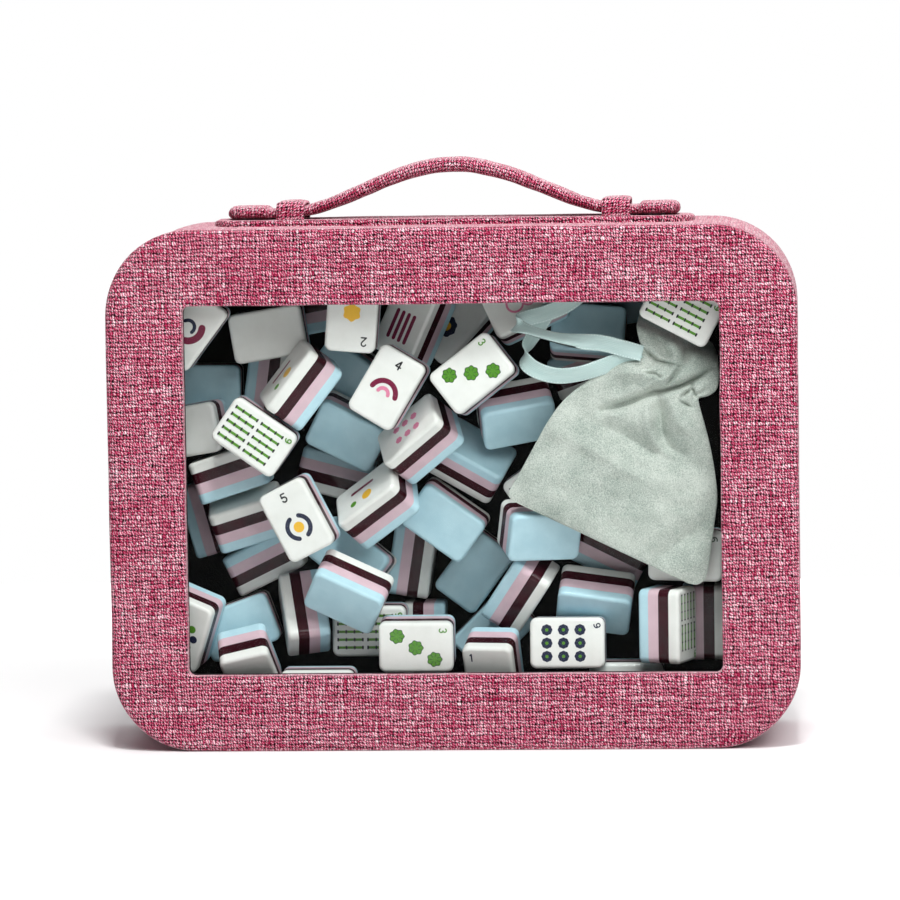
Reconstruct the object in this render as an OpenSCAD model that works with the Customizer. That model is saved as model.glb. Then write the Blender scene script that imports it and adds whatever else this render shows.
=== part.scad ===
// Mahjong case: a fabric-wrapped board case with a window in its front, a sliding strap handle on
// top, and a set of four-layer tiles and a drawstring pouch inside.
// Millimetres. X runs along the width, -Y is the window side, Z is up. The origin is the middle of
// the face that the case stands on.

/* [Case] */
// Width of the whole case
case_w = 290; // [270:1:320]
// Height of the case without its handle
case_h = 220; // [205:1:240]
// Depth of the case, front to back
case_d = 90; // [84:1:110]
// Radius of the four outer corners
corner_r = 36; // [24:1:45]
// Rounding of the front and back edges
edge_r = 3; // [1.5:0.5:4]

/* [Window] */
// Width of the window opening
window_w = 225; // [180:1:230]
// Height of the window opening
window_h = 156; // [120:1:160]
// Corner radius of the window opening
window_r = 3; // [1:0.5:8]
// Thickness of the clear pane
pane_t = 2; // [1.5:0.5:3]

/* [Layers] */
// Thickness of the fabric cover
cover_t = 1.2; // [0.8:0.1:1.5]
// Thickness of the board in the walls
wall_t = 8; // [7:0.5:10]
// Thickness of the back board
back_t = 5; // [4:0.5:8]
// Thickness of the front board of the lid
lid_board_t = 4; // [3:0.5:5]
// Thickness of the lining inside the body
lining_t = 1; // [0.6:0.1:1.5]
// Seam between the closed lid and the body
seam = 0.4; // [0.3:0.1:1]

/* [Handle] */
// Width of the strap
strap_w = 22; // [18:1:22]
// Thickness of the strap at its ends
strap_end_t = 4.2; // [3.5:0.1:4.4]
// Thickness of the strap at its middle
strap_mid_t = 6.3; // [5:0.1:7]
// Height that the middle of the strap rises above its ends
strap_rise = 20; // [14:1:26]
// Distance from the middle of the case to each keeper
keeper_x = 69; // [60:1:72]
// Width of each keeper along the strap
keeper_w = 12; // [10:1:14]

/* [Tiles] */
// Length of a tile
tile_l = 31.5; // [30:0.5:32]
// Width of a tile
tile_w = 21.5; // [20:0.5:22]
// Thickness of a tile, four equal layers
tile_t = 18.4; // [16:0.4:19]

/* [Hidden] */
$fn = 64;

tweed = [0.78, 0.43, 0.57];
charcoal = [0.16, 0.16, 0.18];
greyboard = [0.55, 0.51, 0.46];
steel = [0.75, 0.75, 0.77];
mint = [0.75, 0.83, 0.79];
eps = 0.01;

// Layers from the front of the case to its back
front_y = -case_d / 2;
lid_board_y = front_y + cover_t;
spacer_y = lid_board_y + lid_board_t;
pane_y = spacer_y + cover_t;
lid_back_y = pane_y + pane_t;
rim_y = lid_back_y + cover_t + seam;
wall_y = rim_y + cover_t;
back_y = case_d / 2;
back_board_end = back_y - cover_t;
wall_end = back_board_end - back_t;

// How far each layer lies inside the outline of the case
board_in = cover_t;
lining_in = cover_t + wall_t;
room_in = lining_in + lining_t;
turn_in = 10;
back_panel_gap = 0.2;
rim_r = 0.8;

// Pane, and the margins of fabric and board round the window
pane_lap = 9;
pane_gap = 0.3;
pane_r = window_r + pane_lap;

// Fabric hinge let into the bottom of both covers
hinge_w = 200;
hinge_reach = 9;
hinge_t = 1;

// Magnets in pairs across the seam
magnet_d = 6;
magnet_t = 3;
magnet_in = cover_t + wall_t / 2;
magnet_top = [-80, 0, 80];
magnet_side = [60, 110, 160];

// Handle and its fittings on the top wall
patch_l = 204;
patch_w = 36;
patch_t = 2.6;
patch_r = 14;
patch_z = case_h + patch_t;
strap_gap = 0.2;
strap_z = patch_z + strap_gap + strap_end_t / 2;
strap_span = 72;
strap_curve = 0.9;
grip_x = 40;
leg_x = 61;
leg_gap = 0.2;
pad_x = 78.4;
pad_end = 96;
pad_w = 26;
pad_t = 5.8;
pad_r = 8;
keeper_t = 2;
keeper_in = 12.4;
keeper_top = 228.2;
plate_l = 210;
plate_w = 46;
plate_t = 1.2;
plate_z = case_h - lining_in;
tail_t = 1.6;
tail_y = 21;
rivet_x = 86;
rivet_y = 8;
rivet_d = 4;
rivet_head_d = 8;
rivet_head_t = 0.8;
slot_gap = 0.1;

// Tiles, each as near the window as those listed before it allow:
// [x, z, side towards the window, turn, tip, swing, distance kept from the window]
tile_front = lid_back_y + cover_t + 0.8;
tile_r = 3;
tile_gap = 0.3;
FACE = 0;
BACK = 1;
LONG = 2;
TILES = [
    [-27, 152, FACE, 59, -6, 0, 0],
    [-84, 132, FACE, 145, 0, 0, 0],
    [9, 157, FACE, 38, -9, 0, 0],
    [-66, 97, FACE, 117, -7, 0, 0],
    [-46, 65, BACK, -25, 36, 0, 0],
    [-17, 43, FACE, 0, 5, 0, 0],
    [47, 43, FACE, 0, -5, 0, 0],
    [97, 184, FACE, -28, 0, 0, 0],
    [-65, 153, LONG, 52, 20, 0, 0],
    [-15, 129, LONG, 48, 33, 15, 0],
    [25, 139, LONG, 21, -50, -15, 3],
    [-34, 101, LONG, 44, 28, 15, 0],
    [5, 118, LONG, 150, -38, 0, 0],
    [-6, 93, BACK, -36, 10, 0, 0],
    [-47, 131, BACK, -27, 15, 0, 0],
    [-67, 54, LONG, 96, 10, -30, 0],
    [35, 90, BACK, -8, 18, -22, 4],
    [26, 63, LONG, -123, 0, -22, 0],
    [89, 50, LONG, -90, 20, 0, 0],
    [58, 59, LONG, -8, -50, 0, 0],
    [15, 31, FACE, 90, -10, 24, 0],
    [-89, 33, FACE, 103, 0, 42, 0],
    [-115, 50, FACE, 68, -10, 18, 0],
    [-97, 115, LONG, 18, 0, 0, 0],
    [-90, 95, LONG, 17, 15, 0, 0],
    [-18, 177, FACE, 66, -28, 0, 0],
    [-39, 46, FACE, 0, 0, 0, 0],
    [5, 69, BACK, 53, 0, 0, 0],
    [-85, 75, LONG, -154, 0, 0, 0],
    [97, 79, FACE, -2, 0, 0, 13],
    [64, 77, LONG, -27, 0, 0, 12],
    [-115, 133, FACE, 10, 0, 12, 0],
    [-80, 174, FACE, 9, 0, 0, 24],
    [-1, 175, FACE, 47, -20, 0, 0],
    [30, 185, FACE, 25, -18, 0, 12],
    [-82, 155, LONG, -98, 0, 0, 0],
    [-110, 93, LONG, -75, 0, 0, 0],
    [-22, 74, LONG, -99, 0, 0, 0],
    [104, 49, LONG, -90, 0, 0, 0],
    [-110, 149, BACK, 0, 0, 0, 12],
    [56, 172, BACK, -5, -20, 0, 13],
    [-112, 178, FACE, 53, 0, 0, 4],
    [37, 108, FACE, 35, 0, 0, 14],
    [55, 156, LONG, 200, 0, 0, 14],
    [64, 184, BACK, 12, 0, 0, 14],
    [-57, 183, LONG, 10, 0, 0, 18],
    [-42, 183, FACE, -95, 0, 0, 4],
    [-48, 155, BACK, -38, 10, 0, 0],
    [-55, 111, LONG, 165, 0, 0, 0],
    [-47, 77, BACK, -38, 0, 12, 0],
    [-59, 22, FACE, 0, 0, 0, 0],
    [-17, 40, LONG, 90, 0, 0, 0],
    [13, 43, BACK, 45, 0, 0, 0],
    [71, 22, FACE, 0, 0, 0, 0],
    [-95, 48, BACK, 20, 0, 0, 0]];

// Drawstring pouch, cross-section by cross-section from its hem to its frill, which leans back:
// [x, z, half width, front bulge, back bulge, lean, depth of its middle]
pouch_sides = 20;
POUCH = [
    [60.5, 88.8, 40, 0.8, 1.5, -29, -30],
    [62, 91.5, 43, 2.5, 5, -29, -30],
    [66, 99, 41, 3.5, 9, -29, -30],
    [72, 112, 37, 4, 12, -29, -30],
    [77, 125, 31, 4, 13, -30, -30],
    [82.5, 138, 25.5, 4, 12, -30, -30],
    [88, 147, 19.5, 4, 9, -31, -30],
    [92, 152, 11, 3.5, 6, -32, -30],
    [94, 155, 8, 3, 5, -32, -30],
    [95, 158.5, 11.5, 3, 5, -30, -29],
    [94.7, 162, 15, 3, 5, -28, -25.5],
    [94.3, 166, 18, 3, 5, -26, -19],
    [94, 169.5, 19.5, 3, 4.5, -24, -13.5],
    [94, 174, 19, 2, 4, -22, -11.5],
    [94, 177, 17, 0.8, 1.5, -22, -11]];

// Satin ribbon of the pouch: two loops, from the neck out to the left and back
ribbon_w = 7;
ribbon_t = 1.2;
ribbon_sides = 8;
RIBBON = [
    [81.5, -31.4, 164.5], [72, -32.8, 167], [62, -33.2, 169.5], [50, -33, 172], [38, -33, 175.5],
    [30, -32, 178.5], [25.5, -29, 181], [29, -26, 183.5], [38, -25.5, 186], [48, -25.5, 190],
    [56, -25, 196], [59, -22.5, 201], [55, -21, 203], [48, -22.2, 198], [42, -23.4, 189],
    [36, -24.5, 179], [31, -26, 170.5], [31, -29, 164], [37, -32, 160], [47, -33, 158],
    [57, -32.4, 158], [67, -31, 160], [81, -29.4, 163]];

// ---- shared shapes ----

// Half of a cross-section with its two outer corners rounded
module edge_profile(reach, y0, y1, front_r, rear_r) {
    translate([0, y0 + front_r]) square([reach, y1 - y0 - front_r - rear_r]);
    translate([0, y0]) square([reach - front_r, front_r + eps]);
    translate([0, y1 - rear_r - eps]) square([reach - rear_r, rear_r + eps]);
    translate([reach - front_r, y0 + front_r]) circle(front_r);
    translate([reach - rear_r, y1 - rear_r]) circle(rear_r);
}

module full_profile(reach, y0, y1, front_r, rear_r) {
    edge_profile(reach, y0, y1, front_r, rear_r);
    mirror([1, 0]) edge_profile(reach, y0, y1, front_r, rear_r);
}

// The case outline as a solid from y0 to y1 with its front and back edges rounded
module rounded_slab(y0, y1, front_r, rear_r) {
    flat_x = case_w / 2 - corner_r;
    flat_z = case_h / 2 - corner_r;
    translate([0, 0, case_h / 2]) {
        for (sx = [-1, 1], sz = [-1, 1])
            translate([sx * flat_x, 0, sz * flat_z]) rotate([-90, 0, 0])
                rotate_extrude() edge_profile(corner_r, y0, y1, front_r, rear_r);
        translate([-flat_x, 0, 0]) rotate([0, 90, 0])
            linear_extrude(2 * flat_x) full_profile(case_h / 2, y0, y1, front_r, rear_r);
        translate([0, 0, -flat_z])
            linear_extrude(2 * flat_z) full_profile(case_w / 2, y0, y1, front_r, rear_r);
    }
}

module rounded_rect(w, h, r) {
    square([w - 2 * r, h], center = true);
    square([w, h - 2 * r], center = true);
    for (sx = [-1, 1], sz = [-1, 1])
        translate([sx * (w / 2 - r), sz * (h / 2 - r)]) circle(r);
}

// A plate standing in the XZ plane at the middle of the case, from y0 to y1
module plate(w, h, r, y0, y1) {
    translate([0, y1, case_h / 2]) rotate([90, 0, 0]) linear_extrude(y1 - y0) rounded_rect(w, h, r);
}

// The case outline drawn in by inset
module inset_slab(inset, y0, y1) {
    plate(case_w - 2 * inset, case_h - 2 * inset, corner_r - inset, y0, y1);
}

// The window outline grown by grow
module window_slab(grow, y0, y1) {
    plate(window_w + 2 * grow, window_h + 2 * grow, window_r + grow, y0, y1);
}

module magnet_row(y0) {
    for (x = magnet_top)
        translate([x, y0, case_h - magnet_in]) rotate([-90, 0, 0]) cylinder(d = magnet_d, h = magnet_t);
    for (sx = [-1, 1], z = magnet_side)
        translate([sx * (case_w / 2 - magnet_in), y0, z]) rotate([-90, 0, 0])
            cylinder(d = magnet_d, h = magnet_t);
}

module hinge_strip(height) {
    translate([-hinge_w / 2, rim_y - hinge_reach, 0]) cube([hinge_w, 2 * hinge_reach, height]);
}

// Slots for the keepers' legs and holes for the rivets, through everything under the handle
module handle_cuts() {
    for (sx = [-1, 1], sy = [-1, 1]) {
        leg_mid = keeper_in + keeper_t / 2;
        translate([sx * keeper_x, sy * leg_mid, case_h - 4])
            cube([keeper_w + 2 * slot_gap, keeper_t + 2 * slot_gap, 20], center = true);
        translate([sx * rivet_x, sy * rivet_y, case_h - 20]) cylinder(d = rivet_d, h = 40);
    }
}

// ---- body ----

module wall_board() {
    color(greyboard) difference() {
        inset_slab(board_in, wall_y, wall_end);
        inset_slab(lining_in, wall_y - 1, wall_end + 1);
        magnet_row(wall_y);
        handle_cuts();
        translate([-plate_l / 2, -plate_w / 2, plate_z - 1]) cube([plate_l, plate_w, plate_t + 1]);
        for (sx = [-1, 1], sy = [-1, 1])
            translate([sx * keeper_x, sy * (keeper_in + tail_y) / 2, plate_z + plate_t + tail_t / 2 - eps])
                cube([keeper_w + 2 * slot_gap, tail_y - keeper_in + 2 * slot_gap, tail_t + 2 * eps], center = true);
    }
}

module wall_cover() {
    color(tweed) difference() {
        rounded_slab(rim_y, back_y, rim_r, edge_r);
        inset_slab(board_in, wall_y, back_board_end);
        inset_slab(lining_in, rim_y - 1, wall_y + 1);
        inset_slab(turn_in, back_board_end - 1, back_y + 1);
        translate([0, 0, -1]) hinge_strip(cover_t + 1);
        handle_cuts();
    }
}

module back_board() {
    color(greyboard) inset_slab(board_in, wall_end, back_board_end);
}

module back_cover() {
    color(tweed) inset_slab(turn_in + back_panel_gap, back_board_end, back_y);
}

module body_lining() {
    color(charcoal) difference() {
        inset_slab(lining_in, rim_y + seam, wall_end);
        inset_slab(room_in, rim_y - 1, wall_end - lining_t);
        for (sx = [-1, 1], sy = [-1, 1])
            translate([sx * rivet_x, sy * rivet_y, plate_z - 3]) cylinder(d = rivet_head_d, h = 6);
    }
}

// ---- lid ----

module lid_board() {
    color(greyboard) difference() {
        inset_slab(board_in, lid_board_y, spacer_y);
        window_slab(cover_t, lid_board_y - 1, spacer_y + 1);
    }
}

module lid_spacer() {
    color(greyboard) difference() {
        inset_slab(board_in, spacer_y, lid_back_y);
        window_slab(pane_lap + pane_gap, spacer_y - 1, lid_back_y + 1);
        magnet_row(lid_back_y - magnet_t);
    }
}

module lid_cover() {
    color(tweed) {
        difference() {
            rounded_slab(front_y, rim_y - seam, edge_r, rim_r);
            inset_slab(board_in, lid_board_y, lid_back_y);
            inset_slab(turn_in, lid_back_y - 1, rim_y + 1);
            window_slab(0, front_y - 1, lid_board_y + 1);
            translate([0, 0, -1]) hinge_strip(cover_t + 1);
        }
        difference() {
            window_slab(cover_t, lid_board_y - eps, pane_y);
            window_slab(0, front_y, pane_y + 1);
        }
        difference() {
            window_slab(pane_lap, spacer_y, pane_y);
            window_slab(cover_t / 2, spacer_y - 1, pane_y + 1);
        }
    }
}

module lid_lining() {
    color(charcoal) difference() {
        inset_slab(turn_in + back_panel_gap, lid_back_y, rim_y - seam);
        window_slab(0, lid_back_y - 1, rim_y + 1);
    }
}

module window_pane() {
    color([0.85, 0.9, 0.92, 0.35])
        plate(window_w + 2 * pane_lap, window_h + 2 * pane_lap, pane_r, pane_y, lid_back_y);
}

module hinge_tape() {
    color(tweed) translate([0, 0, cover_t - hinge_t]) hinge_strip(hinge_t);
}

module magnets_body() {
    color(steel) magnet_row(wall_y);
}

module magnets_lid() {
    color(steel) magnet_row(lid_back_y - magnet_t);
}

// ---- handle ----

module base_patch() {
    color(tweed) difference() {
        translate([0, 0, case_h]) linear_extrude(patch_t) rounded_rect(patch_l, patch_w, patch_r);
        handle_cuts();
        for (sx = [-1, 1], sy = [-1, 1])
            translate([sx * rivet_x, sy * rivet_y, patch_z - rivet_head_t]) cylinder(d = rivet_head_d, h = 2);
    }
}

module top_plate() {
    color(steel) difference() {
        translate([-plate_l / 2, -plate_w / 2, plate_z]) cube([plate_l, plate_w, plate_t]);
        for (sx = [-1, 1], sy = [-1, 1])
            translate([sx * rivet_x, sy * rivet_y, plate_z - 1]) cylinder(d = rivet_d, h = plate_t + 2);
    }
}

module handle_rivets() {
    color(steel) for (sx = [-1, 1], sy = [-1, 1])
        translate([sx * rivet_x, sy * rivet_y, 0]) {
            translate([0, 0, patch_z - rivet_head_t]) cylinder(d = rivet_head_d, h = rivet_head_t);
            translate([0, 0, plate_z - lining_t]) cylinder(d = rivet_head_d, h = lining_t);
            translate([0, 0, plate_z - eps]) cylinder(d = rivet_d, h = patch_z - plate_z - rivet_head_t + 2 * eps);
        }
}

// A fabric loop over the strap, whose two tails are clamped above the top plate
module keeper(sx) {
    tail_z = plate_z + plate_t;
    color(tweed) translate([sx * keeper_x - keeper_w / 2, 0, 0]) rotate([90, 0, 90])
        linear_extrude(keeper_w) {
            translate([-keeper_in - keeper_t, keeper_top]) square([2 * (keeper_in + keeper_t), keeper_t]);
            for (sy = [0, 1]) mirror([sy, 0]) {
                translate([keeper_in, tail_z]) square([keeper_t, keeper_top - tail_z + eps]);
                translate([keeper_in, tail_z]) square([tail_y - keeper_in, tail_t]);
            }
        }
}

function strap_lift(x) =
    abs(x) < strap_span ? strap_rise * pow(0.5 + 0.5 * cos(180 * x / strap_span), strap_curve) : 0;
function strap_t(x) = strap_end_t + (strap_mid_t - strap_end_t) * sqrt(strap_lift(x) / strap_rise);

// A length of the strap's arch between two distances from its middle
module strap_band(x0, x1, steps) {
    xs = [for (i = [0:steps]) x0 + (x1 - x0) * i / steps];
    top = [for (x = xs) [x, strap_z + strap_lift(x) + strap_t(x) / 2]];
    under = [for (i = [steps:-1:0]) [xs[i], strap_z + strap_lift(xs[i]) - strap_t(xs[i]) / 2]];
    translate([0, strap_w / 2, 0]) rotate([90, 0, 0]) linear_extrude(strap_w) polygon(concat(top, under));
}

module handle_grip() {
    color(tweed) strap_band(-grip_x, grip_x, 24);
}

module handle_legs() {
    color(tweed) {
        strap_band(-leg_x, -grip_x, 6);
        strap_band(grip_x, leg_x, 6);
    }
}

// An end of the strap: a neck that slides in the keeper, and a wide pad that stops against it
module handle_pad(sx) {
    under = patch_z + strap_gap;
    neck_x = leg_x + leg_gap;
    color(tweed) mirror([sx < 0 ? 1 : 0, 0, 0]) {
        translate([neck_x, -strap_w / 2, under]) cube([pad_x - neck_x + pad_r, strap_w, strap_end_t]);
        translate([(pad_x + pad_end) / 2, 0, under])
            linear_extrude(pad_t) rounded_rect(pad_end - pad_x, pad_w, pad_r);
    }
}

// ---- tiles ----

function turn_x(a) = [[1, 0, 0], [0, cos(a), -sin(a)], [0, sin(a), cos(a)]];
function turn_y(a) = [[cos(a), 0, sin(a)], [0, 1, 0], [-sin(a), 0, cos(a)]];
function turn_z(a) = [[cos(a), -sin(a), 0], [sin(a), cos(a), 0], [0, 0, 1]];
function side_turn(side) = side == FACE ? turn_x(90) : side == BACK ? turn_x(-90) : turn_x(0);
function tile_turn(t) = turn_y(-t[3]) * turn_x(t[4]) * turn_z(-t[5]) * side_turn(t[2]);
function columns(m) = [for (j = [0:2]) [m[0][j], m[1][j], m[2][j]]];
tile_half = [tile_l / 2, tile_w / 2, tile_t / 2];

// Reach of a turned tile from its middle along a direction
function reach(axes, d) = abs(axes[0] * d) * tile_half[0] + abs(axes[1] * d) * tile_half[1]
    + abs(axes[2] * d) * tile_half[2];

function directions(a, b) = concat(a, b, [for (u = a, v = b) let (c = cross(u, v)) if (norm(c) > 0.01) c / norm(c)]);

// Depths at which tile b would overlap tile a, as [from, to] of its middle
function blocked(a_mid, a, b_xz, b) =
    let (spans = [for (d = directions(a, b))
        let (room = reach(a, d) + reach(b, d) + tile_gap,
             s = (b_xz[0] - a_mid[0]) * d[0] + (b_xz[1] - a_mid[2]) * d[2])
        abs(d[1]) < 0.001 ? (abs(s) >= room ? [1, -1] : [-999, 999])
            : [a_mid[1] + min((-room - s) / d[1], (room - s) / d[1]),
               a_mid[1] + max((-room - s) / d[1], (room - s) / d[1])]])
    [max([for (v = spans) v[0]]), min([for (v = spans) v[1]])];

// The least depth, from the window backwards, that no earlier tile blocks
function free_depth(start, blocks) =
    min([for (y = concat([start], [for (v = blocks) v[1]]))
        if (y >= start && len([for (v = blocks) if (y > v[0] + eps && y < v[1] - eps) 1]) == 0) y]);

// Each tile as [middle, axes], laid in the order of the list
function lay_tiles(i = 0, laid = []) =
    i == len(TILES) ? laid :
    let (t = TILES[i],
         axes = columns(tile_turn(t)),
         near = [for (o = laid) if (norm([o[0][0] - t[0], o[0][2] - t[1]]) < 2 * norm(tile_half)) o],
         blocks = [for (o = near) let (v = blocked(o[0], o[1], [t[0], t[1]], axes)) if (v[0] < v[1]) v],
         start = tile_front + t[6] + reach(axes, [0, 1, 0]))
    lay_tiles(i + 1, concat(laid, [[[t[0], free_depth(start, blocks), t[1]], axes]]));

// One of the four layers of every tile, counted from the back
module tile_layer(index) {
    laid = lay_tiles();
    layer_t = tile_t / 4;
    for (i = [0:len(TILES) - 1])
        translate(laid[i][0]) rotate([0, -TILES[i][3], 0]) rotate([TILES[i][4], 0, 0])
            rotate([0, 0, -TILES[i][5]])
                rotate([TILES[i][2] == FACE ? 90 : TILES[i][2] == BACK ? -90 : 0, 0, 0])
                    translate([0, 0, layer_t * index - tile_t / 2])
                        linear_extrude(layer_t) rounded_rect(tile_l, tile_w, tile_r);
}

module tile_faces() {
    color([0.9, 0.89, 0.86]) tile_layer(3);
}

module tile_burgundy() {
    color([0.3, 0.07, 0.13]) tile_layer(2);
}

module tile_pink() {
    color([0.88, 0.77, 0.8]) tile_layer(1);
}

module tile_backs() {
    color([0.66, 0.79, 0.84]) tile_layer(0);
}

// ---- pouch ----

// Skin of rings of n points each, closed by a cap at both ends
function ring_faces(rings, n) = concat(
    [[for (j = [n - 1:-1:0]) j]],
    [for (i = [0:rings - 2], j = [0:n - 1]) [i * n + j, i * n + (j + 1) % n, (i + 1) * n + (j + 1) % n]],
    [for (i = [0:rings - 2], j = [0:n - 1]) [i * n + j, (i + 1) * n + (j + 1) % n, (i + 1) * n + j]],
    [[for (j = [0:n - 1]) (rings - 1) * n + j]]);

module pouch_bag() {
    points = [for (s = POUCH, j = [0:pouch_sides - 1])
        let (a = 360 * j / pouch_sides, side = s[2] * cos(a), bulge = sin(a) > 0 ? s[4] : s[3])
        [s[0] + side * cos(s[5]), s[6] + bulge * sin(a), s[1] + side * sin(s[5])]];
    color(mint) polyhedron(points, ring_faces(len(POUCH), pouch_sides));
}

function unit(v) = v / norm(v);

module pouch_ribbon() {
    last = len(RIBBON) - 1;
    points = [for (i = [0:last], j = [0:ribbon_sides - 1])
        let (t = unit(RIBBON[min(i + 1, last)] - RIBBON[max(i - 1, 0)]),
             across = unit([0, 0, 1] - t[2] * t),
             through = cross(t, across),
             a = 360 * (j + 0.5) / ribbon_sides)
        RIBBON[i] + ribbon_w / 2 * cos(a) * across + ribbon_t / 2 * sin(a) * through];
    color(mint) polyhedron(points, ring_faces(len(RIBBON), ribbon_sides));
}

wall_board();
wall_cover();
back_board();
back_cover();
body_lining();
lid_board();
lid_spacer();
lid_cover();
lid_lining();
window_pane();
hinge_tape();
magnets_body();
magnets_lid();
base_patch();
top_plate();
handle_rivets();
keeper(-1);  // keeper_left
keeper(1);  // keeper_right
handle_grip();
handle_legs();
handle_pad(-1);  // handle_pad_left
handle_pad(1);  // handle_pad_right
tile_faces();
tile_burgundy();
tile_pink();
tile_backs();
pouch_bag();
pouch_ribbon();
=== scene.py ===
"""Looks of the mahjong case: camera and studio, woven covers, handle, window, tiles, pouch and ribbon."""
import math

import bmesh
import bpy
from mathutils import Matrix, Vector, noise


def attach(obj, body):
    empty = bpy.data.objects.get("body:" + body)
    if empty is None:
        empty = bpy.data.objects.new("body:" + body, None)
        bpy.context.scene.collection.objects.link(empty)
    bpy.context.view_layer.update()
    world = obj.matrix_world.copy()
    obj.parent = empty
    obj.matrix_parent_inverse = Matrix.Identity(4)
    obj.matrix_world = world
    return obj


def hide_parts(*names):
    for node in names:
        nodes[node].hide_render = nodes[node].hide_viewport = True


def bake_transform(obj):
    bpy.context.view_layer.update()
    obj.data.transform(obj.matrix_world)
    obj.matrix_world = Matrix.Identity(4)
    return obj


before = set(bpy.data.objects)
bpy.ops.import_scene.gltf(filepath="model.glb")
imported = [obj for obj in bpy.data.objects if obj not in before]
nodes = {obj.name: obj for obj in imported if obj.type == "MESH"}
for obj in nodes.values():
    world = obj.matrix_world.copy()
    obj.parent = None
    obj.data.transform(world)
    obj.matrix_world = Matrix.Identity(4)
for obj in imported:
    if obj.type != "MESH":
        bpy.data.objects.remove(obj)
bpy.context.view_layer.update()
scene = bpy.context.scene
MM = 0.001
ROOT = "case_body"

# ---- sizes of the case, in millimetres, as in the CAD ----

CASE_W, CASE_H, CORNER_R = 290.0, 220.0, 36.0
EDGE_R, RIM_R = 3.0, 0.8
FRONT_Y, RIM_Y, BACK_Y = -45.0, -35.0, 45.0
LID_END_Y, PANE_Y = -35.4, -38.6
WINDOW_W, WINDOW_H, WINDOW_R = 225.0, 156.0, 3.0
TURN_IN, LINING_IN = 10.0, 9.2
PATCH_L, PATCH_W, PATCH_R, PATCH_TOP = 204.0, 36.0, 14.0, 222.6
STRAP_W, STRAP_END_T, STRAP_MID_T, STRAP_Z = 22.0, 4.2, 6.3, 224.9
STRAP_RISE, STRAP_SPAN, STRAP_CURVE = 20.0, 72.0, 0.9
PAD_X, PAD_END, PAD_W, PAD_T = 78.4, 96.0, 26.0, 5.8
KEEPER_X, KEEPER_W, KEEPER_IN, KEEPER_T, KEEPER_TOP = 69.0, 12.0, 12.4, 2.0, 228.2
HINGE_L, HINGE_W = 200.0, 18.0
# Height over the floor in which the unevenness of the fabric fades out
SETTLE_FADE = 5.0


# ---- shaders written as sums of sockets ----


def lay_stops(elements, stops):
    """The stops of a colour ramp, each a position and a colour."""
    while len(elements) < len(stops):
        elements.new(0.5)
    for element, (position, colour) in zip(elements, stops):
        element.position = position
        element.color = (*colour, 1.0)


class Graph:
    """The shader tree of one material, with a Principled shader on its output."""

    def __init__(self, name):
        self.material = bpy.data.materials.new(name)
        self.material.use_nodes = True
        self.tree = self.material.node_tree
        self.tree.nodes.clear()
        self.output = self.tree.nodes.new("ShaderNodeOutputMaterial")
        self.principled = self.tree.nodes.new("ShaderNodeBsdfPrincipled")
        self.tree.links.new(self.principled.outputs[0], self.output.inputs[0])

    def node(self, kind, settings=None, sockets=None, out=0):
        """A node with its settings, and with values or links on its sockets; stops are those of a ramp."""
        made = self.tree.nodes.new(kind)
        for key, value in (settings or {}).items():
            if key == "stops":
                lay_stops(made.color_ramp.elements, value)
            else:
                setattr(made, key, value)
        for key, value in (sockets or {}).items():
            self.feed(made.inputs[key], value)
        return Value(self, made.outputs[out])

    def feed(self, socket, value):
        if isinstance(value, Value):
            self.tree.links.new(value.socket, socket)
        elif socket.type == "RGBA" and len(value) == 3:
            socket.default_value = (*value, 1.0)
        else:
            socket.default_value = value

    def set(self, **values):
        """Values or links on the Principled shader, each under its socket's name."""
        for key, value in values.items():
            self.feed(self.principled.inputs[key.replace("_", " ")], value)
        return self

    def axes(self, vector, *wanted):
        """The named axes of a vector, 0 for X to 2 for Z."""
        split = self.node("ShaderNodeSeparateXYZ", sockets={0: vector}).socket.node
        return [Value(self, split.outputs[n]) for n in wanted]

    def uv(self):
        """The fabric's coordinates, in millimetres."""
        return self.axes(self.node("ShaderNodeUVMap"), 0, 1)

    def spot(self):
        """The place on the object, in metres."""
        return self.node("ShaderNodeTexCoord", out="Object")

    def vector(self, x, y, z=0.0):
        return self.node("ShaderNodeCombineXYZ", sockets={0: x, 1: y, 2: z})

    def grain(self, vector, scale, detail=2.0, roughness=0.5):
        return self.node("ShaderNodeTexNoise", sockets={
            "Vector": vector, "Scale": scale, "Detail": detail, "Roughness": roughness})

    def ramp(self, value, stops):
        return self.node("ShaderNodeValToRGB", {"stops": stops}, {0: value})

    def mix(self, share, first, second):
        """Colour first at share 0, second at share 1."""
        return self.node("ShaderNodeMix", {"data_type": "RGBA"}, {0: share, 6: first, 7: second}, out=2)

    def bump(self, height, distance, strength=1.0):
        return self.node("ShaderNodeBump", sockets={
            "Height": height, "Distance": distance, "Strength": strength})


class Value:
    """One output socket, used in sums like a number."""

    def __init__(self, graph, socket):
        self.graph = graph
        self.socket = socket

    def math(self, operation, other=None):
        sockets = {0: self} if other is None else {0: self, 1: other}
        return self.graph.node("ShaderNodeMath", {"operation": operation}, sockets)

    def __add__(self, other):
        return self.math("ADD", other)

    def __sub__(self, other):
        return self.math("SUBTRACT", other)

    def __mul__(self, other):
        return self.math("MULTIPLY", other)

    def __truediv__(self, other):
        return self.math("DIVIDE", other)

    def __rsub__(self, other):
        return self.graph.node("ShaderNodeMath", {"operation": "SUBTRACT"}, {0: other, 1: self})

    def floor(self):
        return self.math("FLOOR")

    def fract(self):
        return self.math("FRACT")

    def smooth(self, low, high):
        """0 below low, 1 above high."""
        return self.graph.node("ShaderNodeMapRange", {"interpolation_type": "SMOOTHSTEP"}, {
            "Value": self, "From Min": low, "From Max": high})


def srgb(red, green, blue):
    """A linear colour from screen values of 0 to 255."""
    shares = (red / 255, green / 255, blue / 255)
    return tuple(v / 12.92 if v <= 0.04 else ((v + 0.055) / 1.055) ** 2.4 for v in shares)


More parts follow.
